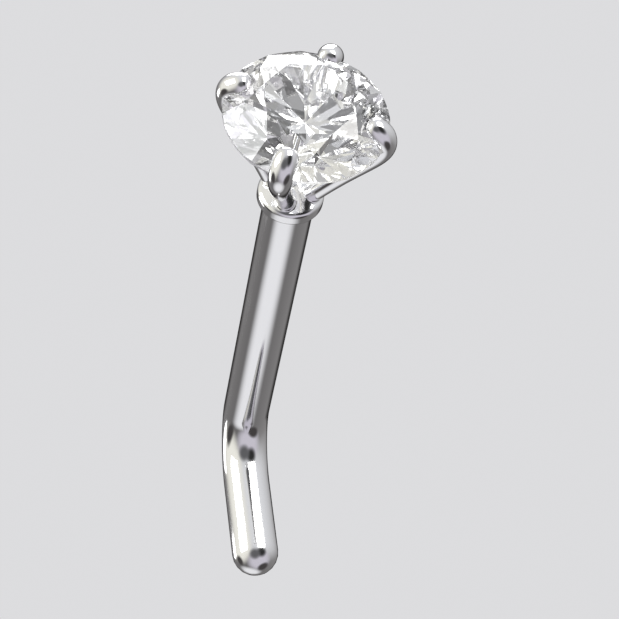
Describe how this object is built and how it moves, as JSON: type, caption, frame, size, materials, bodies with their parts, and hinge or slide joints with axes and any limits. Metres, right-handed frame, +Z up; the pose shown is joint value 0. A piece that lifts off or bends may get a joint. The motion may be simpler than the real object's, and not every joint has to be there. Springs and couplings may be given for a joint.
{
  "type": "nose stud",
  "caption": "Nose stud: a clear round brilliant-cut stone in a claw setting with an L-bent wire post.",
  "frame": {"origin": "on the post's axis, in the plane of the base's flat back, where the post enters the skin", "axes": "+Y along the post, away from the stone and into the nostril wall; +Z up as worn, with the post's tail bent down along -Z; the stone faces -Y"},
  "size_m": [0.0026, 0.0097, 0.0041],
  "materials": {
    "clear_stone": "polished facets, clear and colourless",
    "polished_metal": "mirror polished silver-white metal"
  },
  "bodies": {
    "root": {"stone": "clear_stone", "claw_setting": "polished_metal"}
  },
  "joints": []
}
